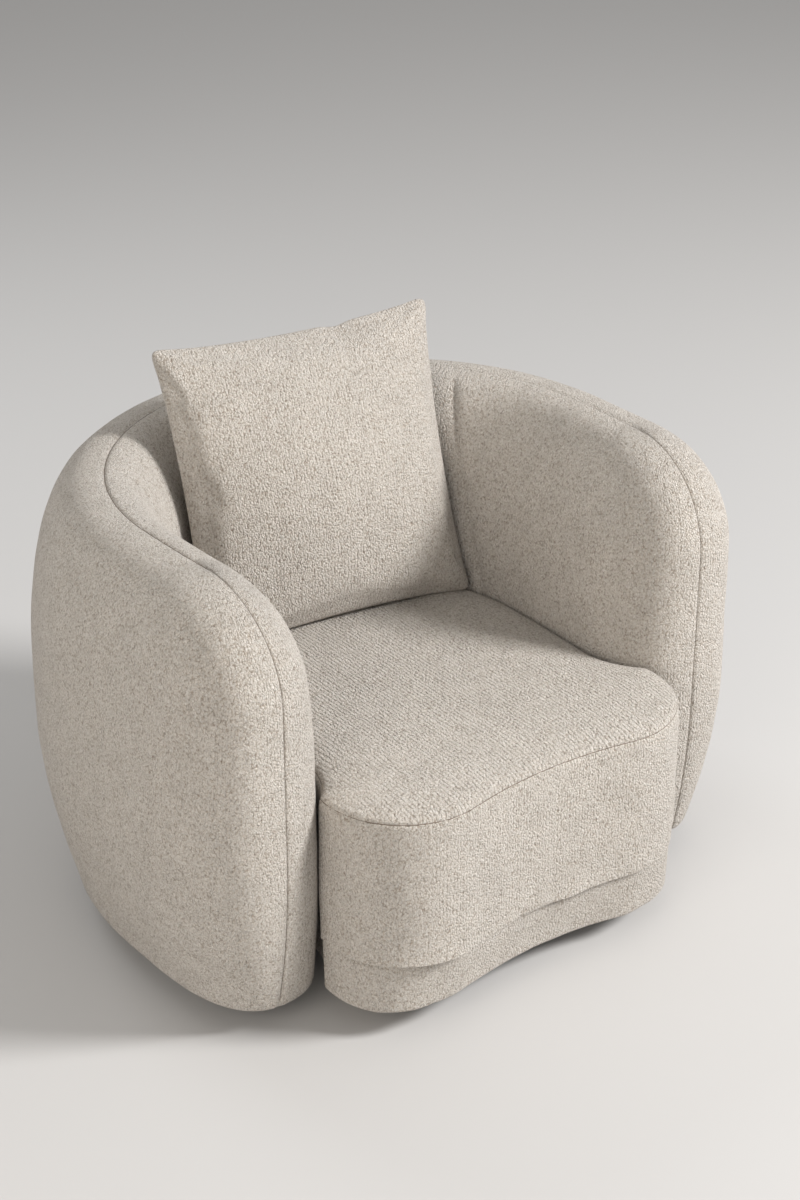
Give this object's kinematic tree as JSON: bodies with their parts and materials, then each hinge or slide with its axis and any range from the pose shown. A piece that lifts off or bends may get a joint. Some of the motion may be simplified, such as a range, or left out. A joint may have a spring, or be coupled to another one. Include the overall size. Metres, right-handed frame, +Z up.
{
  "type": "upholstered swivel tub chair",
  "caption": "Rounded upholstered tub chair with a lobed seat, curved wrap-around back and arms, a hidden swivel base and a loose square cushion.",
  "frame": {"origin": "on the floor under the chair, on the swivel axis, at the middle of the overall width and depth", "axes": "+Z up, +X to the right of someone who faces the chair, the chair looks along -Y"},
  "size_m": [1, 0.916, 0.7968],
  "materials": {
    "boucle": "woven loop yarn with flecks",
    "foam": "cut upholstery foam",
    "filling": "fibre filling in cotton",
    "felt": "needled felt",
    "webbing": "woven elastic webbing",
    "dust_cloth": "thin black spunbond cloth",
    "plywood": "sanded plywood",
    "timber": "sawn hardwood",
    "black_board": "black stained board",
    "steel": "zinc plated",
    "white_plastic": "moulded acetal",
    "glide": "dense nylon felt pad"
  },
  "bodies": {
    "base": {"floor_glides": "glide", "base_disc": "black_board", "swivel_lower_plate": "steel", "lower_plate_screws": "steel", "bearing_ring": "white_plastic", "swivel_pin": "steel", "pin_washer": "steel", "pin_nut": "steel"},
    "tub": {"swivel_upper_plate": "steel", "upper_plate_screws": "steel", "bottom_board": "plywood", "dust_cover": "dust_cloth", "outer_panel": "plywood", "inner_panel": "plywood", "top_ring": "plywood", "right_arm_rib": "plywood", "left_arm_rib": "plywood", "front_rail": "timber", "side_rail_right": "timber", "side_rail_left": "timber", "back_rail": "timber", "cross_rail": "timber", "corner_block_right": "timber", "corner_block_left": "timber", "webbing_lengthways": "webbing", "webbing_crossways": "webbing", "deck_felt": "felt", "plinth_cover": "boucle", "seat_foam_core": "foam", "seat_top_panel": "boucle", "seat_boxing": "boucle", "left_arm_foam": "foam", "right_arm_foam": "foam", "left_back_foam": "foam", "middle_back_foam": "foam", "right_back_foam": "foam", "outside_cover": "boucle", "inside_back_cover": "boucle", "inside_left_arm_cover": "boucle", "inside_right_arm_cover": "boucle", "back_rib_1": "plywood", "back_rib_2": "plywood", "back_rib_3": "plywood", "back_rib_4": "plywood", "back_rib_5": "plywood", "back_rib_6": "plywood", "back_rib_7": "plywood"},
    "cushion": {"cushion_front_panel": "boucle", "cushion_back_panel": "boucle", "cushion_insert": "filling"}
  },
  "joints": [
    {"name": "swivel", "type": "hinge", "parent": "base", "child": "tub", "pos_m": [0, 0, 0.0335], "axis": [0, 0, 1], "continuous": true},
    {"name": "cushion_lift", "type": "slide", "parent": "tub", "child": "cushion", "axis": [0, 0, 1], "range_m": [0, 0.35]}
  ]
}
